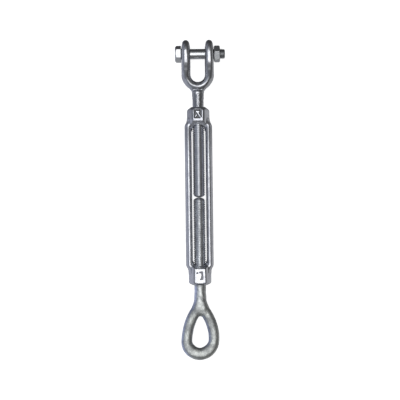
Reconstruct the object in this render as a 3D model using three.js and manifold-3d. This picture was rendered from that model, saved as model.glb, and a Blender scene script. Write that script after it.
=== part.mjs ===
// A jaw-and-eye rigging turnbuckle of forged, galvanised steel, screwed right in.
// Millimetres. The screw axis runs along Y with the jaw towards +Y, the jaw bolt runs
// along X with its nut towards +X, and +Z is up. Inside each function the screw axis is
// x = 0, z = 0 and the middle of the turnbuckle body is y = 0; the last group moves the
// origin to the bottom centre of the whole object.

import * as THREE from 'three';
import { mergeVertices } from 'three/addons/utils/BufferGeometryUtils.js';
import { ConvexGeometry } from 'three/addons/geometries/ConvexGeometry.js';
import Module from 'manifold-3d';

const wasm = await Module();
wasm.setup();

// Gap left where one piece rests on another.
const GAP = 0.3;
const ROUND = 48;
const REIN_SIDES = 16;

// Screw threads: 1/2 inch, left plain here, with a running clearance in the body.
const THREAD_R = 6.35;
const BORE_R = THREAD_R + 0.15;
const SHANK_R = 6.1;
const THREAD_TIP_R = 5.0;
const THREAD_LENGTH = 89;
const TIPS_MEET_Y = -1.55;
const TIP_GAP = 0.6;

// Turnbuckle body: hexagonal ends joined by two reins, open between them.
const BODY_HALF = 95.5;
const HEX_CORNER_R = 12.1;
const HEX_END_R = 7.6;
const HEX_CHAMFER = 3.2;
const SHOULDER_Y = 82;
const REIN_Y = 74.7;
const REIN_X = 11.05;
const REIN_HALF_X = 3.65;
const REIN_HALF_Z = 6.3;
const WINDOW_X = REIN_X - REIN_HALF_X + 0.1;
const WINDOW_Y = 71.7;
const WINDOW_SLOPE = 0.806;

// Both end fittings: where the smooth part outside the body begins.
const SPLIT_Y = 98.35;

// Jaw: a bar bent to a U, with an ear on each arm for the bolt.
const BOLT_Y = 151.5;
const JAW_HALF = 17.2;
const JAW_GAP_HALF = 7.7;
const BEND_Y = 129.2;
const BEND_DEPTH = 6.4;
const EAR_Y = BOLT_Y - 2;
const EAR_HALF_Y = 17.1;
const EAR_HALF_Z = 14.3;
const EDGE = 2.4;
const NECK_HALF_Z = 6.25;
const NECK_SPREAD = [[104.5, 6.1], [107, 6.35], [109.5, 6.8], [112.3, 8], [115, 10.4], [118, 10.4]];

// Jaw bolt and its nut.
const BOLT_R = 5.5;
const BOLT_HOLE_R = BOLT_R + 0.2;
const BOLT_END_X = 29.8;
const HEX_AF = 16;
const HEAD_THICKNESS = 7;
const NUT_THICKNESS = 6;
const HEAD_TURNED = THREE.MathUtils.degToRad(-8.5);
const NUT_TURNED = THREE.MathUtils.degToRad(11);

// Eye: one round bar led round a teardrop.
const EYE_BAR_R = 5.9;
const EYE_BEND_R = 14.2;
const EYE_BEND_Y = -155.2;
const EYE_APEX_Y = -115;
const EYE_CONTROL_Y = -134;

const EAR_FACE_X = JAW_HALF + GAP;
const HEAD_OUTER_X = EAR_FACE_X + HEAD_THICKNESS;
const EAR_TOP_Y = EAR_Y + EAR_HALF_Y;
const EYE_BOTTOM_Y = EYE_BEND_Y - EYE_BEND_R - EYE_BAR_R;

// Lays an outline down sideways: its first axis turns to Y, its second to Z and its depth to X.
const SIDEWAYS = new THREE.Matrix4().makeBasis(
  new THREE.Vector3(0, 1, 0),
  new THREE.Vector3(0, 0, 1),
  new THREE.Vector3(1, 0, 0),
);

// Turns a closed three.js geometry into a solid for joining and cutting.
function solid(geometry) {
  const bare = geometry.index ? geometry.toNonIndexed() : geometry.clone();
  bare.deleteAttribute('normal');
  bare.deleteAttribute('uv');
  const merged = mergeVertices(bare, 1e-4);
  const triVerts = [];
  for (let i = 0; i < merged.index.count; i += 3) {
    const corners = [0, 1, 2].map((k) => merged.index.getX(i + k));
    if (new Set(corners).size === 3) triVerts.push(...corners);
  }
  return new wasm.Manifold(new wasm.Mesh({
    numProp: 3,
    vertProperties: new Float32Array(merged.attributes.position.array),
    triVerts: new Uint32Array(triVerts),
  }));
}

function geometryOf(manifold) {
  const mesh = manifold.getMesh();
  const geometry = new THREE.BufferGeometry();
  geometry.setAttribute('position', new THREE.BufferAttribute(mesh.vertProperties, 3));
  geometry.setIndex(new THREE.BufferAttribute(mesh.triVerts, 1));
  geometry.computeVertexNormals();
  return geometry;
}

function joined(...solids) {
  return solids.reduce((all, next) => all.add(next));
}

function shapeOf(points) {
  return new THREE.Shape(points.map(([a, b]) => new THREE.Vector2(a, b)));
}

// A solid turned about Y from (radius, y) pairs listed upwards.
function turned(profile) {
  const points = profile.map(([radius, y]) => new THREE.Vector2(radius, y));
  return new THREE.LatheGeometry(points, ROUND);
}

// The same about X, from (radius, x) pairs listed towards +X.
function turnedAboutX(profile) {
  return turned(profile).rotateZ(-Math.PI / 2);
}

// An outline in X and Z, drawn out along Y.
function prismAlongY(outline, from, to) {
  const flipped = shapeOf(outline.map(([x, z]) => [x, -z]));
  const settings = { depth: to - from, bevelEnabled: false };
  return new THREE.ExtrudeGeometry(flipped, settings).rotateX(-Math.PI / 2).translate(0, from, 0);
}

// A hexagonal bar along Y with two of its flats facing up and down.
function hexBar(cornerR, from, to) {
  const bar = new THREE.CylinderGeometry(cornerR, cornerR, to - from, 6);
  return bar.rotateY(Math.PI / 6).translate(0, (from + to) / 2, 0);
}

// One plain hexagonal end with its chamfered outer face; side is +1 at the jaw, -1 at the eye.
function hexEnd(side) {
  const inner = WINDOW_Y + 2;
  const bar = hexBar(HEX_CORNER_R, inner, BODY_HALF);
  const cone = turned([
    [0, inner - 1],
    [HEX_CORNER_R + 1, inner - 1],
    [HEX_CORNER_R + 1, BODY_HALF - HEX_CHAMFER],
    [HEX_CORNER_R, BODY_HALF - HEX_CHAMFER],
    [HEX_END_R, BODY_HALF],
    [0, BODY_HALF],
  ]);
  const end = solid(bar).intersect(solid(cone));
  return side > 0 ? end : end.rotate([0, 0, 180]);
}

// The oval outline of a rein on the +X side, in X and Z.
function reinOutline() {
  const oval = new THREE.EllipseCurve(REIN_X, 0, REIN_HALF_X, REIN_HALF_Z);
  return oval.getPoints(REIN_SIDES).slice(0, REIN_SIDES).map((point) => point.toArray());
}

// The shoulder that widens a hexagonal end to the two reins.
function shoulder(side) {
  const points = [];
  for (let corner = 0; corner < 6; corner += 1) {
    const angle = corner * Math.PI / 3;
    points.push([HEX_CORNER_R * Math.cos(angle), SHOULDER_Y, HEX_CORNER_R * Math.sin(angle)]);
  }
  for (const [x, z] of reinOutline()) {
    points.push([x, REIN_Y, z], [-x, REIN_Y, z], [x, WINDOW_Y - 1, z], [-x, WINDOW_Y - 1, z]);
  }
  return new ConvexGeometry(points.map(([x, y, z]) => new THREE.Vector3(x, side * y, z)));
}

// The opening between the reins. Its ends slope back from the middle plane.
function windowCutter() {
  const reach = HEX_CORNER_R + 2;
  const far = WINDOW_Y + WINDOW_SLOPE * reach;
  const outline = shapeOf([
    [WINDOW_Y, 0],
    [far, reach],
    [-far, reach],
    [-WINDOW_Y, 0],
    [-far, -reach],
    [far, -reach],
  ]);
  const settings = { depth: 2 * WINDOW_X, bevelEnabled: false };
  const cutter = new THREE.ExtrudeGeometry(outline, settings).translate(0, 0, -WINDOW_X);
  return cutter.applyMatrix4(SIDEWAYS);
}

function turnbuckleBody() {
  const rein = prismAlongY(reinOutline(), -REIN_Y, REIN_Y);
  const bore = turned([
    [0, -BODY_HALF - 1],
    [BORE_R, -BODY_HALF - 1],
    [BORE_R, BODY_HALF + 1],
    [0, BODY_HALF + 1],
  ]);
  const forging = joined(
    hexEnd(1),
    hexEnd(-1),
    solid(shoulder(1)),
    solid(shoulder(-1)),
    solid(rein),
    solid(rein).rotate([0, 180, 0]),
  );
  return geometryOf(forging.subtract(solid(windowCutter())).subtract(solid(bore)));
}

// The threaded part of an end fitting, from its tip out to the smooth part.
function threadedShank(tipY) {
  const chamfer = THREAD_R - THREAD_TIP_R;
  const end = SPLIT_Y - GAP / 2;
  return turned([
    [0, tipY],
    [THREAD_TIP_R, tipY],
    [THREAD_R, tipY + chamfer],
    [THREAD_R, THREAD_LENGTH],
    [SHANK_R, THREAD_LENGTH + 1],
    [SHANK_R, end],
    [0, end],
  ]);
}

function jawThreadedShank() {
  return threadedShank(TIPS_MEET_Y + TIP_GAP / 2);
}

function eyeThreadedShank() {
  return threadedShank(-TIPS_MEET_Y + TIP_GAP / 2).rotateZ(Math.PI);
}

// One arm of the jaw with its ear, seen from the side, drawn out across its thickness.
function jawArm(side) {
  const outline = new THREE.Shape();
  const foot = BEND_Y - 5;
  const earY = EAR_HALF_Y - EDGE;
  const earZ = EAR_HALF_Z - EDGE;
  const bar = BEND_DEPTH - EDGE;
  // The arm tapers in a straight line from the oval ear to the bend.
  const meets = Math.PI * 0.68;
  outline.moveTo(foot, -bar);
  outline.lineTo(BEND_Y, -bar);
  outline.absellipse(EAR_Y, 0, earY, earZ, -meets, meets, false);
  outline.lineTo(BEND_Y, bar);
  outline.lineTo(foot, bar);
  const thickness = JAW_HALF - JAW_GAP_HALF;
  const arm = new THREE.ExtrudeGeometry(outline, {
    depth: thickness - 2 * EDGE,
    bevelThickness: EDGE,
    bevelSize: EDGE,
    bevelSegments: 2,
    curveSegments: 20,
  });
  const middle = (JAW_HALF + JAW_GAP_HALF) / 2;
  return arm.translate(0, 0, -thickness / 2 + EDGE).applyMatrix4(SIDEWAYS).translate(side * middle, 0, 0);
}

// The bend that joins the two arms of the jaw.
function jawBend() {
  const outer = JAW_HALF - EDGE;
  const inner = JAW_GAP_HALF + EDGE;
  const top = BEND_Y + 5;
  const outline = new THREE.Shape();
  outline.moveTo(-outer, top);
  outline.absarc(0, BEND_Y, outer, Math.PI, 2 * Math.PI, false);
  outline.lineTo(outer, top);
  outline.lineTo(inner, top);
  outline.absarc(0, BEND_Y, inner, 0, -Math.PI, true);
  outline.lineTo(-inner, top);
  const bend = new THREE.ExtrudeGeometry(outline, {
    depth: 2 * (BEND_DEPTH - EDGE),
    bevelThickness: EDGE,
    bevelSize: EDGE,
    bevelSegments: 2,
    curveSegments: 16,
  });
  return bend.translate(0, 0, EDGE - BEND_DEPTH);
}

function jawFork() {
  const start = SPLIT_Y + GAP / 2;
  const end = NECK_SPREAD.at(-1)[0];
  const neck = turned([
    [0, start],
    [SHANK_R, start],
    ...NECK_SPREAD.map(([y, radius]) => [radius, y]),
    [0, end],
  ]);
  // The neck spreads out sideways only: above and below it stays just within the bend.
  const level = new THREE.BoxGeometry(2 * JAW_HALF, end - start + 2, 2 * NECK_HALF_Z);
  level.translate(0, (start + end) / 2, 0);
  const hole = turnedAboutX([
    [0, -JAW_HALF - 2],
    [BOLT_HOLE_R, -JAW_HALF - 2],
    [BOLT_HOLE_R, JAW_HALF + 2],
    [0, JAW_HALF + 2],
  ]).translate(0, BOLT_Y, 0);
  const forging = joined(
    solid(neck).intersect(solid(level)),
    solid(jawBend()),
    solid(jawArm(1)),
    solid(jawArm(-1)),
  );
  return geometryOf(forging.subtract(solid(hole)));
}

// A hexagon for the bolt, chamfered where asked, from one x to another.
function boltHexagon(from, to, chamferFrom, chamferTo) {
  const cornerR = HEX_AF / 2 / Math.cos(Math.PI / 6);
  const faceR = HEX_AF / 2 * 0.95;
  const bevel = (cornerR - faceR) * 0.6;
  const hexagon = hexBar(cornerR, from, to).rotateZ(-Math.PI / 2);
  const cone = turnedAboutX([
    [0, from],
    [chamferFrom ? faceR : cornerR + 1, from],
    [cornerR + 0.01, from + bevel],
    [cornerR + 0.01, to - bevel],
    [chamferTo ? faceR : cornerR + 1, to],
    [0, to],
  ]);
  return solid(hexagon).intersect(solid(cone));
}

// The bolt lies along X about its own axis; the scene lifts it to the ears.
function jawBolt() {
  const head = boltHexagon(-HEAD_OUTER_X, -EAR_FACE_X, true, false);
  const shank = turnedAboutX([
    [0, -EAR_FACE_X - 1],
    [BOLT_R, -EAR_FACE_X - 1],
    [BOLT_R, BOLT_END_X - 1.2],
    [BOLT_R - 1.2, BOLT_END_X],
    [0, BOLT_END_X],
  ]);
  return geometryOf(head.add(solid(shank))).rotateX(HEAD_TURNED);
}

function jawNut() {
  const nutEnd = EAR_FACE_X + NUT_THICKNESS;
  const bore = turnedAboutX([
    [0, EAR_FACE_X - 1],
    [BOLT_R + 0.15, EAR_FACE_X - 1],
    [BOLT_R + 0.15, nutEnd + 1],
    [0, nutEnd + 1],
  ]);
  const nut = boltHexagon(EAR_FACE_X, nutEnd, true, true).subtract(solid(bore));
  return geometryOf(nut).rotateX(NUT_TURNED);
}

// The line that the middle of the eye's bar follows: down one flank, round the bottom
// and up the other flank, starting and ending at the apex inside the neck.
class Teardrop extends THREE.Curve {
  getPoint(t, target = new THREE.Vector3()) {
    const flankShare = 0.32;
    const side = t < 0.5 ? -1 : 1;
    const along = t < 0.5 ? t : 1 - t;
    if (along < flankShare) {
      const s = along / flankShare;
      const x = 2 * s * (1 - s) * EYE_BEND_R + s * s * EYE_BEND_R;
      const y = (1 - s) ** 2 * EYE_APEX_Y + 2 * s * (1 - s) * EYE_CONTROL_Y + s * s * EYE_BEND_Y;
      return target.set(side * x, y, 0);
    }
    const angle = (along - flankShare) / (0.5 - flankShare) * Math.PI / 2;
    const x = EYE_BEND_R * Math.cos(angle);
    return target.set(side * x, EYE_BEND_Y - EYE_BEND_R * Math.sin(angle), 0);
  }
}

function eyeLoop() {
  const section = new THREE.Shape();
  section.absarc(0, 0, EYE_BAR_R, 0, 2 * Math.PI, false);
  const bar = new THREE.ExtrudeGeometry(section, {
    steps: 56,
    curveSegments: 8,
    bevelEnabled: false,
    extrudePath: new Teardrop(),
  });
  const start = -SPLIT_Y - GAP / 2;
  const neck = turned([
    [0, EYE_APEX_Y - 3],
    [SHANK_R + 1, EYE_APEX_Y - 3],
    [SHANK_R, EYE_APEX_Y + 6],
    [SHANK_R, start],
    [0, start],
  ]);
  return geometryOf(solid(bar).add(solid(neck)));
}

function galvanised(colour, roughness) {
  return new THREE.MeshStandardMaterial({ color: colour, metalness: 1, roughness });
}

function part(name, geometry, material) {
  const mesh = new THREE.Mesh(geometry, material);
  mesh.name = name;
  return mesh;
}

const turnbuckle = new THREE.Group();
turnbuckle.add(part('turnbuckle_body', turnbuckleBody(), galvanised(0x8f9193, 0.5)));
turnbuckle.add(part('jaw_threaded_shank', jawThreadedShank(), galvanised(0x7d8084, 0.4)));
turnbuckle.add(part('eye_threaded_shank', eyeThreadedShank(), galvanised(0x7d8084, 0.4)));
turnbuckle.add(part('jaw_fork', jawFork(), galvanised(0x8b8d90, 0.45)));
turnbuckle.add(part('eye_loop', eyeLoop(), galvanised(0x9a9c9d, 0.55)));

const boltAndNut = new THREE.Group();
boltAndNut.add(part('jaw_bolt', jawBolt(), galvanised(0xa5a7aa, 0.3)));
boltAndNut.add(part('jaw_nut', jawNut(), galvanised(0xa0a2a3, 0.5)));
boltAndNut.position.y = BOLT_Y;
turnbuckle.add(boltAndNut);

// The ears are the lowest point, and the bolt and the eye's end set the width and the length.
turnbuckle.position.set(
  (HEAD_OUTER_X - BOLT_END_X) / 2,
  -(EAR_TOP_Y + EYE_BOTTOM_Y) / 2,
  EAR_HALF_Z,
);

export default turnbuckle;
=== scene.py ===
"""A jaw-and-eye rigging turnbuckle in hot-dip galvanised steel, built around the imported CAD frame.

Lengths are in millimetres about the screw axis (x and z are 0 on it, y is 0 at the middle of the
turnbuckle body, the jaw is towards +y and +z is up) until to_frame turns them into the frame's metres.
Forged pieces are described by distance fields, which are negative inside the steel, and meshed from them.
"""

import functools
import math

import bmesh
import bpy
import numpy as np
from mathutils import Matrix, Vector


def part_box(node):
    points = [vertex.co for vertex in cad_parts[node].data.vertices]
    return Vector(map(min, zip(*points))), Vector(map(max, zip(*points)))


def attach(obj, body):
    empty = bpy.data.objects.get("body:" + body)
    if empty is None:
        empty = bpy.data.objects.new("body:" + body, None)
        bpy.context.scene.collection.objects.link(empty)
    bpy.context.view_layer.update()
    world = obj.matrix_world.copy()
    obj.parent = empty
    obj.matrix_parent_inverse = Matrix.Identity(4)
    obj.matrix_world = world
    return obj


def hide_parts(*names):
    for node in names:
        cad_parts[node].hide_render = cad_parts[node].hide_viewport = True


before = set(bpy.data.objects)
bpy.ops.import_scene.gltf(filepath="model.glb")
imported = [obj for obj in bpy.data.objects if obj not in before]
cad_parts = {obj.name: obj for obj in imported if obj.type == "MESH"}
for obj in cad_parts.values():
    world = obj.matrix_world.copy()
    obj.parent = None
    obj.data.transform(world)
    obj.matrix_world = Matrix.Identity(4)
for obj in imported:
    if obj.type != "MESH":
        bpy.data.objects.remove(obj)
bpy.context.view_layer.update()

import openvdb
from mathutils import Matrix, Vector, noise

MM = 0.001


def node_mm(node):
    """A CAD node's lowest and highest corners, in millimetres in the frame."""
    low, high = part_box(node)
    return np.array(low) / MM, np.array(high) / MM


# ---------------------------------------------------------------- driving dimensions

BODY_LOW, BODY_HIGH = node_mm("turnbuckle_body")
FORK_LOW, FORK_HIGH = node_mm("jaw_fork")
EYE_LOW, EYE_HIGH = node_mm("eye_loop")
BOLT_LOW, BOLT_HIGH = node_mm("jaw_bolt")
NUT_HIGH = node_mm("jaw_nut")[1]

AXIS = (BODY_LOW + BODY_HIGH) / 2

BODY_HALF = (BODY_HIGH - BODY_LOW)[1] / 2
REIN_EDGE = (BODY_HIGH - BODY_LOW)[0] / 2
HEX_FLAT = (BODY_HIGH - BODY_LOW)[2] / 2
HEX_CORNER = HEX_FLAT / math.cos(math.pi / 6)

PITCH = 25.4 / 13
THREAD_R = 6.35
ROOT_R = THREAD_R - 0.42 * PITCH
SHANK_R = 6.1
TIPS_MEET_Y = -1.55
TIP_GAP = 0.08

BOLT_Y = (BOLT_LOW + BOLT_HIGH)[1] / 2 - AXIS[1]
JAW_HALF = (FORK_HIGH - FORK_LOW)[0] / 2
JAW_GAP_HALF = 7.7
EAR_HALF_Z = (FORK_HIGH - FORK_LOW)[2] / 2
EAR_HALF_Y = 17.1
EAR_Y = FORK_HIGH[1] - AXIS[1] - EAR_HALF_Y
BEND_Y = 129.55
BOLT_R = 5.5

EYE_BOTTOM = EYE_LOW[1] - AXIS[1]
EYE_HALF = (EYE_HIGH - EYE_LOW)[0] / 2
EYE_SIDE_R = 5.7
EYE_FOOT_R = 6.5
EYE_APEX_Y = -116.3
EYE_CONTROL_Y = -133.5
EYE_HOLE_TOP = -126.2
EYE_HOLE_R = 5.3
EYE_FACE_Z = 5.6


# ---------------------------------------------------------------- distance fields

def length(*parts):
    return np.sqrt(sum(np.square(part) for part in parts))


def carve(radius, *fields):
    """What all the fields share, with the edges between them rounded to a radius."""
    corner = length(*(np.maximum(field + radius, 0) for field in fields))
    return np.minimum(functools.reduce(np.maximum, fields), -radius) + corner


def weld(radius, *fields):
    """All the fields together, with fillets of a radius where they meet."""
    corner = length(*(np.maximum(radius - field, 0) for field in fields))
    return np.maximum(functools.reduce(np.minimum, fields), radius) - corner


def step(low, high, value):
    """0 at low, 1 at high, with a smooth start and end."""
    share = np.clip((value - low) / (high - low), 0, 1)
    return share * share * (3 - 2 * share)


def mix(a, b, share):
    return a + (b - a) * share


def soft_floor(value, floor, width):
    """The value where it is well over the floor, levelling out smoothly to the floor."""
    return floor + width * np.logaddexp(0, (value - floor) / width)


def ellipse(a, b, half_a, half_b):
    """Close to the distance to an ellipse."""
    size = length(a / half_a, b / half_b)
    return size * (size - 1) / np.maximum(length(a / half_a ** 2, b / half_b ** 2), 1e-9)


def full_oval(a, b, half_a, half_b, power=2.5):
    """Close to the distance to an oval that is fuller than an ellipse."""
    a, b = np.abs(a) / half_a, np.abs(b) / half_b
    size = np.maximum(a ** power + b ** power, 1e-9) ** (1 / power)
    slope = length((a / size) ** (power - 1) / half_a, (b / size) ** (power - 1) / half_b)
    return (size - 1) / np.maximum(slope, 1e-9)


def hexagon(across, along, flat):
    """A hexagonal bar with flats at plus and minus flat along the second axis."""
    slanted = np.abs(across) * math.cos(math.pi / 6) + np.abs(along) * 0.5
    return slanted - flat, np.abs(along) - flat


# ---------------------------------------------------------------- meshing

# How far the box that a piece is meshed in reaches past the piece.
MARGIN = 1.5


def field_slope(field, points, reach=0.02):
    """The gradient of a field at some points."""
    slope = np.empty_like(points)
    for axis in range(3):
        shift = np.zeros(3)
        shift[axis] = reach
        ahead, behind = points + shift, points - shift
        slope[:, axis] = (field(*ahead.T) - field(*behind.T)) / (2 * reach)
    return slope


def settle(field, points, rounds=3):
    """Moves points onto the surface where the field is 0."""
    for _ in range(rounds):
        slope = field_slope(field, points)
        size = np.maximum(np.square(slope).sum(1), 0.25)
        points = points - slope * np.clip(field(*points.T) / size, -0.4, 0.4)[:, None]
    return points


def forged_mesh(field, low, high, cell):
    """The surface where a field is 0, as points and faces, meshed from cells of one size."""
    counts = [int(math.ceil((b - a) / cell)) + 1 for a, b in zip(low, high)]
    axes = [a + cell * np.arange(n) for a, n in zip(low, counts)]
    x, y, z = np.meshgrid(*axes, indexing="ij", sparse=True)
    values = np.broadcast_to(field(x, y, z), counts) / cell
    grid = openvdb.FloatGrid(3.0)
    grid.copyFromArray(np.ascontiguousarray(np.clip(values, -3, 3), dtype=np.float32))
    points, _, quads = grid.convertToPolygons(isovalue=0.0, adaptivity=0.0)
    points = np.array(low) + cell * points.astype(float)
    return settle(field, points), quads[:, ::-1]


def roughen(points, layers):
    """How far the skin stands out of a smooth shape: a sum of noise layers.

    Each layer is an amount, the size of its lumps, and where it is: a function of the points that goes
    from 0 to 1, or None for everywhere.
    """
    lift = np.zeros(len(points))
    for seed, (amount, scale, place) in enumerate(layers, start=1):
        share = np.ones(len(points)) if place is None else place(*points.T)
        for i in np.flatnonzero(share > 0.01):
            spot = Vector(points[i]) / scale + Vector((seed, 2.3 * seed, 3.1 * seed))
            lift[i] += amount * share[i] * noise.fractal(spot, 0.9, 2.0, 3)
    return lift


def to_frame(points):
    """From millimetres about the screw axis to metres in the frame."""
    return (np.asarray(points, dtype=float) + AXIS) * MM


def mesh_object(name, points, faces):
    mesh = bpy.data.meshes.new(name)
    mesh.from_pydata(np.asarray(points).tolist(), [], [list(f) for f in faces])
    mesh.validate()
    piece = bpy.data.objects.new(name, mesh)
    bpy.context.scene.collection.objects.link(piece)
    return piece


def tidy(piece):
    """Closes seams, turns the faces outwards and shades the piece smoothly."""
    work = bmesh.new()
    work.from_mesh(piece.data)
    bmesh.ops.remove_doubles(work, verts=work.verts, dist=1e-6)
    bmesh.ops.recalc_face_normals(work, faces=work.faces)
    work.to_mesh(piece.data)
    work.free()
    piece.data.shade_smooth()
    return piece


def forge(name, field, low, high, cell, skin):
    """A piece meshed from its field, with the unevenness of a hot forging under its zinc."""
    points, faces = forged_mesh(field, low, high, cell)
    slope = field_slope(field, points)
    slope /= np.maximum(length(*slope.T), 1e-6)[:, None]
    points = points + slope * roughen(points, skin)[:, None]
    return tidy(mesh_object(name, to_frame(points), faces))


def store_share(piece, share, name="dull_and_shade"):
    """Stores a share from 0 to 1 at each point of the surface for its material: how stained it is on some
    pieces, and painted shade and painted light on others.
    """
    points = np.array([v.co[:] for v in piece.data.vertices]) / MM - AXIS
    values = piece.data.attributes.new(name, "FLOAT", "POINT")
    values.data.foreach_set("value", np.asarray(share(*points.T), dtype=np.float32))


def join_solid(piece, other, operation="UNION"):
    """Joins one closed piece to another, or cuts it away, and drops the other."""
    cut = piece.modifiers.new("join", "BOOLEAN")
    cut.object, cut.operation, cut.solver = other, operation, "EXACT"
    bpy.context.view_layer.objects.active = piece
    with bpy.context.temp_override(object=piece, active_object=piece):
        bpy.ops.object.modifier_apply(modifier=cut.name)
    bpy.data.objects.remove(other)
    piece.data.shade_smooth()
    return piece


# ---------------------------------------------------------------- screw threads

# Around one pitch: how far along the pitch, and how deep below the crest as a share of the depth.
THREAD_FORM = (
    (-0.24, 0.12), (-0.16, 0.0), (0.16, 0.0), (0.24, 0.12),
    (0.36, 0.88), (0.43, 1.0), (0.57, 1.0), (0.64, 0.88),
)
THREAD_SIDES = 40
ROD_TIP = (THREAD_R - 0.3, 3.7)
BLUNT_TIP = (0.5, 0.5)
BOLT_TIP = (2.4, 1.9)
THREAD_END_Y = 89.6
CORE_START_Y, CORE_END_Y = 84.0, 94.0
CORE_R = ROOT_R + 0.12


def thread_mesh(start, end, crest_r, root_r, pitch, hand, tip):
    """The surface of a threaded rod along y, as points and faces, longer than from start to end.

    hand is 1 for a right-hand thread and -1 for a left-hand one. The thread is rounded off towards the
    tip, at start: tip is how far in radius, and over what length.
    """
    first = int(math.floor((start - pitch) / pitch)) - 1
    last = int(math.ceil((end + pitch) / pitch)) + 1
    rows = [(turn + at, depth) for turn in range(first, last) for at, depth in THREAD_FORM]
    points, faces = [], []
    for at, depth in rows:
        for side in range(THREAD_SIDES):
            share = side / THREAD_SIDES
            y = pitch * (at + share)
            radius = crest_r - (crest_r - root_r) * depth
            short = max(1 - max(y - start, 0.0) / tip[1], 0.0)
            radius = min(radius, crest_r - tip[0] * (1 - math.sqrt(1 - short * short)))
            angle = -hand * 2 * math.pi * share
            points.append((radius * math.sin(angle), y, radius * math.cos(angle)))
    per_turn = len(THREAD_FORM)
    for row in range(len(rows) - 1 - per_turn):
        for side in range(THREAD_SIDES):
            a = row * THREAD_SIDES + side
            b = a + 1 if side + 1 < THREAD_SIDES else (row + per_turn) * THREAD_SIDES
            faces.append((a, b, b + THREAD_SIDES, a + THREAD_SIDES))
    return np.array(points), faces


def cut_ends(points, faces, start, end):
    """Cuts a long threaded surface square at both ends and closes it."""
    mesh = bpy.data.meshes.new("thread")
    mesh.from_pydata(points.tolist(), [], faces)
    work = bmesh.new()
    work.from_mesh(mesh)
    bpy.data.meshes.remove(mesh)
    for y, out in ((start, -1), (end, 1)):
        geometry = work.verts[:] + work.edges[:] + work.faces[:]
        bmesh.ops.bisect_plane(
            work, geom=geometry, dist=1e-5, plane_co=(0, y, 0), plane_no=(0, out, 0), clear_outer=True
        )
    loose = [v for v in work.verts if not v.link_faces]
    bmesh.ops.delete(work, geom=loose, context="VERTS")
    bmesh.ops.holes_fill(work, edges=[e for e in work.edges if e.is_boundary], sides=0)
    work.verts.index_update()
    points = np.array([v.co[:] for v in work.verts])
    faces = [[v.index for v in f.verts] for f in work.faces]
    work.free()
    return points, faces


def threaded_rod(name, start, end, crest_r, root_r, pitch, hand=1, tip=BLUNT_TIP, turn=None, move=(0, 0, 0)):
    """A closed threaded rod along y, turned by a matrix and then moved to its place."""
    points, faces = thread_mesh(start, end, crest_r, root_r, pitch, hand, tip)
    points, faces = cut_ends(points, faces, start, end)
    if turn is not None:
        points = points @ np.array(turn).T
    return tidy(mesh_object(name, to_frame(points + np.array(move)), faces))


def add_shank(piece, name, start, hand=1, turn=None):
    """Joins a threaded shank to a fitting, with a plain core that reaches from the thread into its neck."""
    thread = (THREAD_R, ROOT_R, PITCH, hand, ROD_TIP, turn)
    rod = threaded_rod(name + "_thread", start, THREAD_END_Y, *thread)
    core = threaded_rod(name + "_stub", CORE_START_Y, CORE_END_Y, CORE_R, CORE_R, PITCH, turn=turn)
    join_solid(piece, join_solid(rod, core))


# ---------------------------------------------------------------- turnbuckle body

# Pairs are for the jaw's end and the eye's end.
SHOULDER_FOOT_Y = (74.2, 73.4)
SHOULDER_TOP_Y = (81.7, 80.2)
WINDOW_FOOT_Y = (70.0, 70.1)
WINDOW_SLOPE = (0.968, 0.71)
HEX_EDGE_R = (1.4, 0.9)
CHAMFER = (4.0, 2.7)
END_TURN = (0.0, math.radians(0.6))
FLAT_FALL = (0.07, 0.05)
FLAT_LIP_Y = (82.6, 78.0)
LIP_FALL = 0.13
HEX_END_R = 6.8
REIN_HALF_X = 3.65
REIN_HALF_Z = 6.6
REIN_LEAN = 0.45
REIN_CLOSING = 2.9
REIN_THINNING = 0.8
REIN_END_Y = 82.7
BORE_R = 6.5

MARK_X, MARK_Y = -0.4, 87.6
POCKET_HALF_X, POCKET_HALF_Y = 4.1, 4.7
POCKET_DEPTH = 0.65
EYE_MARK_Y = 84.0
EYE_MARK_DEPTH = 0.6

# The bars of each mark about its middle, seen from above: middle, half size and lean.
CROSSED_BARS = (
    ((0.6, -0.5), (0.95, 3.7), -0.6),
    ((-2.2, -2.1), (0.85, 1.7), 0.5),
    ((-0.5, 2.3), (2.1, 0.95), 0.0),
)
HOOK_AND_DOT = (
    ((2.4, 1.2), (0.65, 3.9), 0.0),
    ((1.2, -2.7), (1.6, 0.6), 0.0),
    ((1.6, 4.8), (1.2, 0.5), 0.0),
    ((-2.8, -1.9), (0.65, 0.7), 0.0),
)


def by_end(y, pair):
    """The value of a pair for the end of the body that y is in."""
    return np.where(y > 0, *pair)


def flat_height(y):
    """The height of the hexagon's flat: it falls towards each end, and at the lip of the jaw's window."""
    beyond_lip = np.abs(y) - by_end(y, FLAT_LIP_Y)
    before_lip = np.where(y > 0, np.maximum(-beyond_lip, 0), 0)
    return HEX_FLAT - by_end(y, FLAT_FALL) * np.maximum(beyond_lip, 0) - LIP_FALL * before_lip


def window_end(y, z):
    """How far a point is beyond the sloping end of the window between the reins."""
    foot, slope = by_end(y, WINDOW_FOOT_Y), by_end(y, WINDOW_SLOPE)
    return (foot + slope * np.abs(z) - np.abs(y)) / np.sqrt(1 + slope * slope)


def body_end(x, y, z):
    """One hexagonal end of the body, out to its chamfer: the eye's end is forged a little round."""
    turn = by_end(y, END_TURN)
    x, z = x * np.cos(turn) - z * np.sin(turn), z * np.cos(turn) + x * np.sin(turn)
    across, along = np.abs(x) * math.cos(math.pi / 6) - HEX_FLAT, z * 0.5
    slanted = carve(0.4, across + along, across - along)
    top = np.abs(z) - flat_height(y)
    cone_slope = (HEX_CORNER - HEX_END_R) / by_end(y, CHAMFER)
    to_end = BODY_HALF - np.abs(y)
    cone = (length(x, z) - HEX_END_R - cone_slope * to_end) / np.sqrt(1 + cone_slope ** 2)
    bar = carve(0.9, carve(by_end(y, HEX_EDGE_R), slanted, top), -to_end)
    return carve(0.5, carve(1.1, bar, cone), window_end(y, z))


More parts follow.
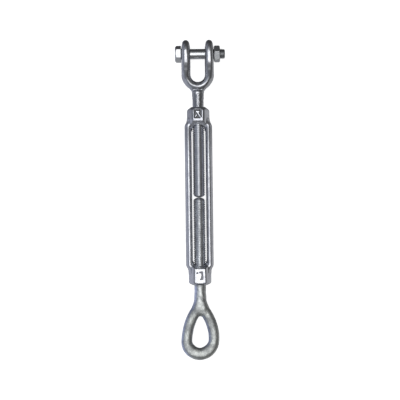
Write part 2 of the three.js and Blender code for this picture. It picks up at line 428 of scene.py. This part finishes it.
def body_rein(x, y, z):
    """The two reins: oval bars that thin out and lean in to the ends of the body."""
    ax, ay = np.abs(x), np.abs(y)
    share = step(by_end(y, SHOULDER_FOOT_Y), by_end(y, SHOULDER_TOP_Y), ay)
    half_z = REIN_HALF_Z - REIN_THINNING * share
    lean = REIN_LEAN * np.minimum(np.square(z / half_z), 1)
    middle = REIN_EDGE - REIN_HALF_X - REIN_CLOSING * share - lean
    oval = ellipse(ax - middle, z, REIN_HALF_X, half_z)
    return carve(1.5, carve(0.4, oval, np.abs(z) - half_z + 0.13), ay - REIN_END_Y)


def bars(x, y, shapes):
    """Short bars seen from above, as a flat field: a bar's lean is sideways over its length."""
    fields = []
    for middle, half, lean in shapes:
        across = x - middle[0] - lean * (y - middle[1])
        fields.append(carve(0.3, np.abs(across) - half[0], np.abs(y - middle[1]) - half[1]))
    return functools.reduce(np.minimum, fields)


def mark_pocket(x, y, z):
    """The sunk ground of the jaw end's mark."""
    outline = carve(1.3, np.abs(x - MARK_X) - POCKET_HALF_X, np.abs(y - MARK_Y) - POCKET_HALF_Y)
    return carve(0.3, outline, flat_height(y) - POCKET_DEPTH - z, 5 - z)


def raised_marks(x, y, z):
    """Plain crossed bars, standing up from the ground of the jaw end's pocket."""
    top = flat_height(y)
    return carve(0.25, bars(x, y - MARK_Y, CROSSED_BARS), z - top - 0.1, top - 1.2 - z)


def sunk_marks(x, y, z):
    """A plain hook and a dot, sunk into the eye end's flat."""
    return carve(0.2, bars(x, -y - EYE_MARK_Y, HOOK_AND_DOT), flat_height(y) - EYE_MARK_DEPTH - z)


def rough_panel(x, y, z):
    """Inside the rim of the jaw end's mark, where the die has left a rough ground."""
    along = np.abs(y - MARK_Y)
    return step(4.9, 4.1, np.abs(x - MARK_X)) * step(5.3, 4.7, along) * step(8.5, 9.0, z)


def body_field(x, y, z):
    """The whole forged body: hexagonal ends and reins, with its marks and its bore."""
    outside = weld(1.6, body_end(x, y, z), body_rein(x, y, z))
    sunk = carve(0.3, outside, -mark_pocket(x, y, z))
    sunk = carve(0.2, sunk, -sunk_marks(x, y, z))
    marked = weld(0.25, sunk, raised_marks(x, y, z))
    mouth = BORE_R + np.maximum(np.abs(y) - (BODY_HALF - 0.9), 0)
    return carve(0.35, marked, mouth - length(x, z))


def body_painted_shade(x, y, z):
    """Painted shade on the body, where the zinc is also made rougher: darkest on the low ground of the jaw
    end's mark and beside it.
    """
    ax, ay = np.abs(x), np.abs(y)
    above_flat = z - flat_height(y)
    low_ground = step(-0.1, -0.4, above_flat) * rough_panel(x, y, z)
    jaw_end_of_reins = step(40, 68, y) * step(75.5, 73, y) * step(8.5, 10, ax)
    left_flat = step(-6.2, -7.2, x) * step(80, 84, y)
    in_eye_mark = step(-0.12, -0.4, above_flat) * step(-79, -80, y) * step(4.4, 4.0, ax) * step(8, 9, z)
    inner_sides = step(11.2, 9.8, ax) * step(8.4, 9.0, ax) * step(74, 71, ay)
    jaw_flat = step(80, 82, y) * step(8.5, 9.5, z)
    beside_mark = jaw_flat * step(5.2, 5.6, np.abs(x - MARK_X)) * step(7.2, 6.6, ax)
    eye_flat = step(-77, -78, y) * step(8.5, 9.5, z)
    eye_flat_edges = eye_flat * step(5.4, 5.9, ax) * step(7.1, 6.6, ax)
    # Painted shade: the sunk ground of both marks, the strip beside the jaw end's mark, the left flat and the
    # reins at the jaw's end, the reins' inner sides, and the eye end's flat, most at its edges.
    return (low_ground + 0.4 * jaw_end_of_reins + 0.4 * left_flat + 0.5 * in_eye_mark
            + 0.35 * inner_sides + 0.7 * beside_mark + 0.1 * eye_flat + 0.5 * eye_flat_edges)


def turnbuckle_body():
    reach = np.array([REIN_EDGE + MARGIN, BODY_HALF + MARGIN, HEX_FLAT + 2])
    skin = ((0.07, 7.0, None), (0.1, 1.5, rough_panel))
    piece = forge("turnbuckle_body_forging", body_field, -reach, reach, cell=0.47, skin=skin)
    # The body's painted shade, stored for its material.
    store_share(piece, body_painted_shade)
    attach(piece, "turnbuckle_body")
    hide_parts("turnbuckle_body")
    return piece


# ---------------------------------------------------------------- jaw

NECK_FOOT_Y = 90.8
JAW_NECK_END_Y = 113.6
ARM_MIDDLE = (JAW_HALF + JAW_GAP_HALF) / 2
ARM_HALF = (JAW_HALF - JAW_GAP_HALF) / 2
ARM_HALF_Z = 5.0
ARM_EDGE_R, EAR_EDGE_R = 5.3, 3.1
RIDGE_R = 15.4
RIDGE_HALF_Z = 5.3
FLANK_SLOPE = math.radians(47)
JAW_NECK_R = SHANK_R - 0.25
JAW_WEB_Y = 103
# Where the arm begins to get deeper towards the ear, and by how much for each millimetre.
ARM_DEEPENS = ((120.3, 0.27), (126.5, 0.23))


def jaw_side(y, z):
    """The jaw from the side: an oval ear on an arm that tapers down to the bend."""
    ear = full_oval(y - EAR_Y, z, EAR_HALF_Y, EAR_HALF_Z)
    depth = ARM_HALF_Z
    for start, rise in ARM_DEEPENS:
        depth = depth + rise * soft_floor(y - start, 0, 1.0)
    arm = (np.abs(z) - depth) / 1.08
    return mix(arm, ear, step(133.5, 140, y))


def sloping(away, height):
    """The distance to a face that slopes outwards, from how far out and how high a point is."""
    return height * math.cos(FLANK_SLOPE) + away * math.sin(FLANK_SLOPE)


def jaw_fork(x, y, z):
    """The two arms and the bend between them: one bar with rounded edges and sloping flanks outside."""
    ax, az = np.abs(x), np.abs(z)
    around_bend = length(x, np.minimum(y - BEND_Y, 0))
    reach = length(np.maximum(y - EAR_Y, 0), 0.9 * z)
    bar = np.abs(around_bend - ARM_MIDDLE) - ARM_HALF + 0.17 * soft_floor(reach - 8, 0, 0.8)
    edge = mix(ARM_EDGE_R, EAR_EDGE_R, step(BEND_Y - 6, BEND_Y + 11, y))
    fork = carve(edge, bar, jaw_side(y, z))
    beyond_ridge = around_bend - RIDGE_R + 0.14 * ax - 1.4 * soft_floor(y - 123.5, 0, 1.0)
    return carve(1.2, fork, sloping(beyond_ridge, az - RIDGE_HALF_Z))


def jaw_neck(x, y, z):
    """The round neck, a little thicker and with flats on it next to the fork."""
    radius = JAW_NECK_R + 0.35 * step(103, 109, y)
    pad = np.abs(z) - radius + 0.14 - 0.5 * step(109.4, 108.4, y)
    neck = carve(3.6, length(x, z) - radius, y - JAW_NECK_END_Y)
    return carve(0.5, carve(0.8, neck, pad), NECK_FOOT_Y - y)


def jaw_web(x, y, z):
    """The webs in the corners between the neck and the bend, with sloping rims."""
    ax, az = np.abs(x), np.abs(z)
    outline = weld(5.0, ax - SHANK_R + 0.2, length(x, y - BEND_Y - 0.1) - JAW_HALF)
    rim = sloping(outline, az - 0.3)
    web = carve(1.0, carve(0.6, outline, rim), az - 1.5 - 0.33 * ax, y - BEND_Y)
    return carve(1.0, web, JAW_GAP_HALF + 2.5 - length(x, y - BEND_Y), JAW_WEB_Y - y)


def jaw_field(x, y, z):
    """The whole forged jaw, with the hole for its bolt."""
    whole = weld(0.8, weld(0.2, jaw_fork(x, y, z), jaw_neck(x, y, z)), jaw_web(x, y, z))
    return carve(0.5, whole, BOLT_R + 0.25 - length(y - BOLT_Y, z))


def shank_part(x, y, z):
    """The plain shank, where the zinc has run into small lumps."""
    return step(9, 7, np.abs(x)) * step(112, 108, np.abs(y))


def jaw_grime(x, y, z):
    """The fork is a little duller than the thread, and its plain shank duller still."""
    return step(88, 91, y) * mix(0.95, 0.45, step(109.3, 110.8, y))


def jaw_end():
    low = (-JAW_HALF - MARGIN, NECK_FOOT_Y - MARGIN, -EAR_HALF_Z - MARGIN)
    high = (JAW_HALF + MARGIN, EAR_Y + EAR_HALF_Y + MARGIN, EAR_HALF_Z + MARGIN)
    skin = ((0.09, 7.0, None), (0.17, 2.3, shank_part))
    piece = forge("jaw_end_fitting", jaw_field, low, high, cell=0.45, skin=skin)
    add_shank(piece, "jaw", TIPS_MEET_Y + TIP_GAP)
    store_share(piece, jaw_grime)
    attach(piece, "jaw_end")
    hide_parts("jaw_fork", "jaw_threaded_shank")
    return piece


# ---------------------------------------------------------------- eye

EYE_NECK_END_Y = -124
CROTCH_TOP_Y, CROTCH_FOOT_Y = -136, -152
CROTCH_R = 5.0
EYE_WEB_TOP_Y, EYE_WEB_FOOT_Y = -116, -131
EYE_WEB_HALF_X = 7.5
EYE_SKEW = 1.0


def eye_half_line(count=70):
    """The middle line of half of the eye's bar in x and y, from the apex round to the bottom."""
    bend = EYE_HALF + 0.1 - EYE_SIDE_R
    bend_y = EYE_BOTTOM + EYE_FOOT_R + bend
    s = np.linspace(0, 1, count)
    angle = np.linspace(0, math.pi / 2, count // 2)[1:]
    x = 2 * s * (1 - s) * bend + s * s * bend
    y = (1 - s) ** 2 * EYE_APEX_Y + 2 * s * (1 - s) * EYE_CONTROL_Y + s * s * bend_y
    foot = np.column_stack([bend * np.cos(angle) ** 1.08, bend_y - (bend - 0.2) * np.sin(angle)])
    return np.vstack([np.column_stack([x, y]), foot])


EYE_LINE = eye_half_line()


def line_distance(x, y, line):
    """The distance in the x-y plane to a line of points, and the y of its nearest place."""
    shape = np.broadcast(x, y).shape
    at = np.column_stack([np.broadcast_to(x, shape).ravel(), np.broadcast_to(y, shape).ravel()])
    best, where = np.full(len(at), np.inf), np.zeros(len(at))
    for a, b in zip(line[:-1], line[1:]):
        along = b - a
        share = np.clip(((at - a) @ along) / max(along @ along, 1e-12), 0, 1)
        near = a + share[:, None] * along
        away = length(*(at - near).T)
        closer = away < best
        best[closer], where[closer] = away[closer], near[closer, 1]
    return best.reshape(shape), where.reshape(shape)


def eye_loop(x, y, z):
    """The loop: a round bar that gets thicker to its foot, with a fillet where its sides meet on top."""
    low = EYE_BOTTOM + EYE_FOOT_R
    halves = []
    for side in (1, -1):
        away, where = line_distance(side * x, y, EYE_LINE)
        radius = mix(EYE_SIDE_R, EYE_FOOT_R, step(low + 16, low, where))
        halves.append(length(away, z) - radius)
    crotch = mix(0.01, CROTCH_R, step(CROTCH_FOOT_Y, CROTCH_TOP_Y, y))
    return weld(crotch, *halves)


def eye_neck(x, y, z):
    """The round neck, which thins out into the loop."""
    radius = SHANK_R + 0.3 * step(-102, -108, y) - 0.5 * step(-109, -118, y)
    neck = carve(0.5, length(x, z) - radius, y + NECK_FOOT_Y)
    return carve(3.0, neck, EYE_NECK_END_Y - y)


def eye_web(x, y, z):
    """The steel that fills the top of the eye, down to the round top of its hole."""
    hole_top = EYE_HOLE_R - length(x, y - EYE_HOLE_TOP + EYE_HOLE_R)
    side, face = np.abs(x) - EYE_WEB_HALF_X, np.abs(z) - EYE_FACE_Z + 0.03 * x * x
    return carve(3.6, face, side, hole_top, EYE_WEB_FOOT_Y - y, y - EYE_WEB_TOP_Y)


def eye_field(x, y, z):
    """The whole eye, its foot bent a little to one side, with flat faces at its front and back."""
    x = x + EYE_SKEW * step(-142, -168, y)
    face = mix(EYE_FACE_Z, SHANK_R + 1, step(-112, -100, y)) + 0.6 * step(-160, -172, y)
    whole = weld(2.5, eye_loop(x, y, z), eye_neck(x, y, z), eye_web(x, y, z))
    return carve(2.4, whole, np.abs(z) - face)


def eye_grime(x, y, z):
    """The loop is dull all over and its neck a little less; the thread has been run in and shines."""
    return step(-84, -96, y) * mix(0.75, 1.0, step(-108, -122, y))


def eye_painted_side_light(x, y, z):
    """Painted light: the sides that face -x, towards the bolt head's side, get a bluish and lighter tint, as
    if lit from that side.
    """
    slope = field_slope(eye_field, np.stack((x, y, z), axis=-1))
    facing = slope[..., 0] / np.linalg.norm(slope, axis=-1)
    return step(-94, -98, y) * step(-0.25, -0.65, facing)


def eye_end():
    low = (-EYE_HALF - 2.0, EYE_BOTTOM - MARGIN, -8.5)
    high = (EYE_HALF + MARGIN, -NECK_FOOT_Y + MARGIN, 8.5)
    skin = ((0.07, 7.0, None), (0.13, 2.4, None))
    piece = forge("eye_end_fitting", eye_field, low, high, cell=0.45, skin=skin)
    flip = Matrix.Rotation(math.pi, 3, "Z")
    add_shank(piece, "eye", TIP_GAP - TIPS_MEET_Y, hand=-1, turn=flip)
    store_share(piece, eye_grime)
    # Painted light: a bluish tint on the eye's sides that face -x.
    store_share(piece, eye_painted_side_light, "painted_side_light")
    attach(piece, "eye_end")
    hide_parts("eye_loop", "eye_threaded_shank")
    return piece


# ---------------------------------------------------------------- jaw bolt and nut

BOLT_PITCH = 1.5
BOLT_CREST_R = BOLT_R - 0.1
BOLT_ROOT_R = BOLT_R - 0.6134 * BOLT_PITCH
EAR_FACE_X = JAW_HALF + 0.3
HEAD_OUTER_X = -(BOLT_LOW[0] - AXIS[0]) - 0.5
BOLT_END_X = BOLT_HIGH[0] - AXIS[0] - 0.4
NUT_END_X = NUT_HIGH[0] - AXIS[0] + 0.5
HEX_AF_HALF = 8.0
BLANK_REACH = 10.5
HEAD_TURNED = math.radians(-5)
HEAD_CHAMFER_SLOPE = 1.3
HEAD_END_R = 0.92 * HEX_AF_HALF
NUT_TURNED = math.radians(17)
NUT_CHAMFER_SLOPE = 1.9
NUT_END_R = 0.97 * HEX_AF_HALF
NUT_BORE_R = BOLT_R + 0.15
PLAIN_END_X = 12.0
BOLT_THREAD_X = 11.0


def turned_hexagon(y, z, angle):
    """The bar that a hexagon head or nut is cut from, turned by an angle about the bolt."""
    across = y * math.cos(angle) + z * math.sin(angle)
    along = z * math.cos(angle) - y * math.sin(angle)
    return hexagon(across, along, HEX_AF_HALF)


def bolt_field(x, y, z):
    """The bolt's head and the plain part of its rod."""
    y = y - BOLT_Y
    around = length(y, z)
    slanted, flat = turned_hexagon(y, z, HEAD_TURNED)
    chamfer = (around - HEAD_END_R - HEAD_CHAMFER_SLOPE * (x + HEAD_OUTER_X)) / 1.64
    head = carve(0.35, slanted, flat, -HEAD_OUTER_X - x, x + EAR_FACE_X, chamfer)
    rod = carve(0.3, around - BOLT_R, x - PLAIN_END_X, -EAR_FACE_X - 1 - x)
    return weld(0.4, head, rod)


def bolt_grime(x, y, z):
    """The thread that stands out of the nut is dull."""
    return 0.55 * step(22, 24, x)


def jaw_bolt():
    low = (-HEAD_OUTER_X - 1, BOLT_Y - BLANK_REACH, -10.0)
    high = (PLAIN_END_X + MARGIN, BOLT_Y + BLANK_REACH, 10.0)
    piece = forge("jaw_bolt_forged", bolt_field, low, high, cell=0.3, skin=((0.03, 4.0, None),))
    lay = Matrix(((0, -1, 0), (1, 0, 0), (0, 0, 1)))
    thread = (BOLT_CREST_R, BOLT_ROOT_R, BOLT_PITCH, 1, BOLT_TIP, lay, (0, BOLT_Y, 0))
    join_solid(piece, threaded_rod("bolt_thread", -BOLT_END_X, -BOLT_THREAD_X, *thread))
    store_share(piece, bolt_grime)
    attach(piece, "jaw_bolt")
    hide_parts("jaw_bolt")
    return piece


def nut_field(x, y, z):
    """A hexagon nut, chamfered at both ends, with a plain bore."""
    y = y - BOLT_Y
    around = length(y, z)
    slanted, flat = turned_hexagon(y, z, NUT_TURNED)
    ends = np.abs(x - (EAR_FACE_X + NUT_END_X) / 2) - (NUT_END_X - EAR_FACE_X) / 2
    chamfer = (around - NUT_END_R + NUT_CHAMFER_SLOPE * ends) / 2.15
    block = carve(0.3, slanted, flat, ends, chamfer)
    bore = NUT_BORE_R + np.maximum(ends + 0.7, 0)
    return carve(0.15, block, bore - around)


def jaw_nut():
    low = (EAR_FACE_X - 1, BOLT_Y - BLANK_REACH, -BLANK_REACH)
    high = (NUT_END_X + 1, BOLT_Y + BLANK_REACH, BLANK_REACH)
    piece = forge("jaw_nut_hexagon", nut_field, low, high, cell=0.28, skin=((0.04, 4.0, None),))
    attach(piece, "jaw_nut")
    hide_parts("jaw_nut")
    return piece


# ---------------------------------------------------------------- materials

# How many clouds of each kind there are to a metre, and the part of their range that shows.
PATCH_SCALE = 160
SPECK_SCALE = 900
GRAIN_SCALE = 700
CLOUD_RANGE = (0.35, 0.65)


def grey(value):
    return (value, value, value)


def tinted(tree, tone, attribute, colour):
    """A tone multiplied by a colour, as much as the piece's attribute says at each point."""
    share = tree.nodes.new("ShaderNodeAttribute")
    share.attribute_name = attribute
    node = tree.nodes.new("ShaderNodeMix")
    node.data_type, node.blend_type = "RGBA", "MULTIPLY"
    tree.links.new(share.outputs["Fac"], node.inputs["Factor"])
    tree.links.new(tone, node.inputs["A"])
    node.inputs["B"].default_value = (*colour, 1)
    return node.outputs["Result"]


def added(tree, value, factor, more):
    """A value times a factor, plus another value."""
    node = tree.nodes.new("ShaderNodeMath")
    node.operation = "MULTIPLY_ADD"
    tree.links.new(value, node.inputs[0])
    node.inputs[1].default_value = factor
    tree.links.new(more, node.inputs[2])
    return node.outputs[0]


def zinc(name, colour, rough, mottle=0.5, grain=0.1, size=1.0, dull_and_shade=None, painted_side_light=None):
    """Galvanised steel: a metal with cloudy patches and fine grain.

    Of the last two arguments, the first is how much darker and how much rougher it is by its piece's stored
    share: stains on some pieces and painted shade on the body.
    The second is the colour it is multiplied by where its piece has painted light on its sides.
    """
    material = bpy.data.materials.new(name)
    material.use_nodes = True
    tree = material.node_tree
    nodes, links = tree.nodes, tree.links
    shader = nodes["Principled BSDF"]
    shader.inputs["Metallic"].default_value = 1.0
    place = nodes.new("ShaderNodeTexCoord")

    def cloud(scale, detail, distortion=0.0):
        texture = nodes.new("ShaderNodeTexNoise")
        texture.inputs["Scale"].default_value = scale * size
        texture.inputs["Detail"].default_value = detail
        texture.inputs["Distortion"].default_value = distortion
        links.new(place.outputs["Object"], texture.inputs["Vector"])
        return texture.outputs["Fac"]

    def ramp(value, low, high):
        node = nodes.new("ShaderNodeMapRange")
        node.inputs["From Min"].default_value, node.inputs["From Max"].default_value = CLOUD_RANGE
        node.inputs["To Min"].default_value, node.inputs["To Max"].default_value = low, high
        links.new(value, node.inputs["Value"])
        return node.outputs["Result"]

    patches = cloud(PATCH_SCALE, 3, 0.4)
    specks = cloud(SPECK_SCALE, 2)
    colours = nodes.new("ShaderNodeMix")
    colours.data_type = "RGBA"
    dark = [c * (1 - 0.45 * mottle) for c in colour]
    dark[2] = min(1.0, dark[2] * 1.04)
    colours.inputs["A"].default_value = (*dark, 1)
    colours.inputs["B"].default_value = (*colour, 1)
    links.new(added(tree, ramp(patches, 0, 0.6), 1.0, ramp(specks, 0, 0.4)), colours.inputs["Factor"])
    tone, gloss = colours.outputs["Result"], ramp(patches, rough + 0.08, rough - 0.05)
    if dull_and_shade is not None:
        # Darker and rougher by the stored share: stains on some pieces, painted shade on the body.
        darkening, roughening = dull_and_shade
        tone = tinted(tree, tone, "dull_and_shade", darkening)
        dull_and_shade_share = nodes.new("ShaderNodeAttribute")
        dull_and_shade_share.attribute_name = "dull_and_shade"
        gloss = added(tree, dull_and_shade_share.outputs["Fac"], roughening, gloss)
    # Painted light: a colour over the sides that the eye's stored share picks out.
    if painted_side_light is not None:
        tone = tinted(tree, tone, "painted_side_light", painted_side_light)
    links.new(tone, shader.inputs["Base Color"])
    links.new(gloss, shader.inputs["Roughness"])

    bump = nodes.new("ShaderNodeBump")
    bump.inputs["Strength"].default_value = 0.5
    bump.inputs["Distance"].default_value = grain * MM
    links.new(cloud(GRAIN_SCALE, 4), bump.inputs["Height"])
    links.new(bump.outputs["Normal"], shader.inputs["Normal"])
    return material


def body_zinc():
    """Bright and even, with painted shade that is nearly black in the sunk mark."""
    return zinc("body_zinc", (0.67, 0.68, 0.71), 0.21, mottle=0.4, grain=0.06, dull_and_shade=(grey(0.22), 0.22))


def jaw_zinc():
    """Smooth and glossy, with strong patches."""
    return zinc("jaw_zinc", (0.75, 0.76, 0.785), 0.15, mottle=0.6, grain=0.06, dull_and_shade=(grey(0.55), 0.1))


def eye_zinc():
    """The palest and most mottled, a little greenish where it is dull, with painted light that makes it
    bluish on the sides that face -x.
    """
    dull_and_shade = ((0.68, 0.685, 0.65), 0.18)
    # The last colour is painted light, a bluish tint on the sides that face -x.
    look = {"mottle": 1.0, "grain": 0.18, "size": 0.85, "dull_and_shade": dull_and_shade, "painted_side_light": (1.12, 1.18, 1.5)}
    return zinc("eye_zinc", (0.92, 0.94, 0.95), 0.25, **look)


def bolt_zinc():
    return zinc("bolt_zinc", (0.6, 0.61, 0.61), 0.18, mottle=0.3, grain=0.03, dull_and_shade=(grey(0.5), 0.3))


def nut_zinc():
    return zinc("nut_zinc", (0.68, 0.69, 0.69), 0.34, mottle=0.3)


def paint(piece, material):
    piece.data.materials.clear()
    piece.data.materials.append(material)


# ---------------------------------------------------------------- stage

FLOOR_HALF = 3.0


def stage_floor():
    """A pale floor that glows a little, so that the ground shows plain white around the object."""
    mesh = bpy.data.meshes.new("floor")
    corners = [(x * FLOOR_HALF, y * FLOOR_HALF, 0) for x, y in ((-1, -1), (1, -1), (1, 1), (-1, 1))]
    mesh.from_pydata(corners, [], [(0, 1, 2, 3)])
    floor = bpy.data.objects.new("floor", mesh)
    bpy.context.scene.collection.objects.link(floor)
    material = bpy.data.materials.new("pale_floor")
    material.use_nodes = True
    shader = material.node_tree.nodes["Principled BSDF"]
    shader.inputs["Base Color"].default_value = (0.9, 0.9, 0.9, 1)
    shader.inputs["Roughness"].default_value = 0.9
    shader.inputs["Specular IOR Level"].default_value = 0.0
    shader.inputs["Emission Color"].default_value = (1, 1, 1, 1)
    shader.inputs["Emission Strength"].default_value = 0.8
    paint(floor, material)
    floor.visible_glossy = False


def lamp(name, place, size, power):
    """A rectangular lamp that shines at the middle of the table."""
    light = bpy.data.lights.new(name, "AREA")
    light.shape = "RECTANGLE"
    light.size, light.size_y = size
    light.energy = power
    holder = bpy.data.objects.new(name, light)
    holder.location = place
    holder.rotation_euler = (-Vector(place)).to_track_quat("-Z", "Y").to_euler()
    bpy.context.scene.collection.objects.link(holder)


def ramp_node(nodes, stops):
    """A colour ramp through (position, colour) stops."""
    node = nodes.new("ShaderNodeValToRGB")
    elements = node.color_ramp.elements
    while len(elements) < len(stops):
        elements.new(0.5)
    for element, (at, colour) in zip(elements, stops):
        element.position, element.color = at, (*colour, 1)
    return node


def stage_world():
    """The light around the table: a glow overhead, dim sides, and a bright table except beyond the jaw."""
    world = bpy.data.worlds.new("room")
    world.use_nodes = True
    nodes, links = world.node_tree.nodes, world.node_tree.links
    direction = nodes.new("ShaderNodeSeparateXYZ")
    links.new(nodes.new("ShaderNodeTexCoord").outputs["Generated"], direction.inputs[0])

    def tone(axis, stops):
        place = nodes.new("ShaderNodeMapRange")
        place.inputs["From Min"].default_value = -1
        links.new(direction.outputs[axis], place.inputs["Value"])
        ramp = ramp_node(nodes, [((at + 1) / 2, shade) for at, shade in stops])
        links.new(place.outputs["Result"], ramp.inputs["Fac"])
        return ramp.outputs["Color"]

    def blend(a, b, factor=None, kind="MIX"):
        node = nodes.new("ShaderNodeMix")
        node.data_type, node.blend_type = "RGBA", kind
        links.new(a, node.inputs["A"])
        links.new(b, node.inputs["B"])
        if factor is None:
            node.inputs["Factor"].default_value = 1
        else:
            links.new(factor, node.inputs["Factor"])
        return node.outputs["Result"]

    sky = blend(tone("Z", SKY_BY_HEIGHT), tone("Y", SKY_ALONG), kind="MULTIPLY")
    sky = blend(sky, tone("X", SKY_ACROSS), kind="MULTIPLY")
    table = blend(tone("Y", TABLE_ALONG), tone("X", TABLE_ACROSS), kind="MULTIPLY")
    table = blend(table, tone("Z", TABLE_BY_HEIGHT), kind="MULTIPLY")
    colour = blend(table, sky, tone("Z", ((-0.12, (0, 0, 0)), (0.12, (1, 1, 1)))))
    background = nodes["Background"]
    links.new(colour, background.inputs["Color"])
    background.inputs["Strength"].default_value = WORLD_STRENGTH
    bpy.context.scene.world = world


# Ramps over one part of a direction, from -1 to 1: how bright the room is that way.
WORLD_STRENGTH = 2.44
SKY_BY_HEIGHT = (
    (0, grey(0.24)), (0.25, grey(0.19)), (0.5, grey(0.13)), (0.62, grey(0.15)),
    (0.8, grey(0.3)), (0.87, grey(0.38)), (0.94, grey(0.5)), (1, grey(0.55)),
)
SKY_ALONG = ((-1, grey(0.85)), (-0.8, grey(1)), (0.6, grey(0.95)), (0.87, grey(0.7)), (1, grey(0.3)))
SKY_ACROSS = (
    (-1, (0.72, 0.76, 0.87)), (-0.7, (0.8, 0.86, 1.0)), (-0.4, (0.65, 0.68, 0.73)),
    (0, (0.5, 0.51, 0.52)), (0.5, grey(0.31)), (0.8, grey(0.33)), (1, grey(0.42)),
)
TABLE_ALONG = (
    (-1, grey(0.205)), (-0.5, grey(0.246)), (0, grey(0.254)), (0.3, grey(0.197)),
    (0.6, grey(0.05)), (1, grey(0.033)),
)
TABLE_ACROSS = ((-1, (0.84, 0.87, 1.0)), (-0.4, (0.88, 0.91, 1.0)), (0.4, grey(0.8)), (1, (0.82, 0.83, 0.85)))
TABLE_BY_HEIGHT = ((-1, grey(0.5)), (-0.85, grey(0.6)), (-0.6, grey(1)), (0, grey(1)))


SOFTBOX_HEIGHT = 3.5
SOFTBOX_RADIANCE = 1.5
SOFTBOX_ALONG = 0.2


def stage_lights():
    """The room, and one softbox overhead: 22 degrees wide and 48 long, seen from the table."""
    stage_world()
    across = 2 * SOFTBOX_HEIGHT * math.tan(math.radians(11))
    along = 2 * SOFTBOX_HEIGHT * math.tan(math.radians(24))
    place = (-SOFTBOX_HEIGHT * math.tan(math.radians(1.5)), SOFTBOX_ALONG, SOFTBOX_HEIGHT)
    lamp("softbox", place, (across, along), SOFTBOX_RADIANCE * math.pi * across * along)


CAMERA_DISTANCE = 2.5
SENSOR_MM = 36.0
CAMERA_X, CAMERA_Y = -0.00175, 0.00008
CAMERA_SPAN = 0.42708
CAMERA_ROLL = math.radians(-0.67)


def stage_camera():
    """A camera straight above the turnbuckle, far off, so that there is little perspective."""
    camera = bpy.data.cameras.new("camera")
    camera.sensor_width = SENSOR_MM
    height = AXIS[2] * MM
    camera.lens = SENSOR_MM * CAMERA_DISTANCE / CAMERA_SPAN
    holder = bpy.data.objects.new("camera", camera)
    holder.location = (CAMERA_X, CAMERA_Y, height + CAMERA_DISTANCE)
    holder.rotation_euler = (0, 0, CAMERA_ROLL)
    bpy.context.scene.collection.objects.link(holder)
    bpy.context.scene.camera = holder


# ---------------------------------------------------------------- the object

paint(turnbuckle_body(), body_zinc())
paint(jaw_end(), jaw_zinc())
paint(eye_end(), eye_zinc())
paint(jaw_bolt(), bolt_zinc())
paint(jaw_nut(), nut_zinc())

stage_floor()
stage_lights()
stage_camera()
bpy.context.scene.view_settings.view_transform = "Standard"
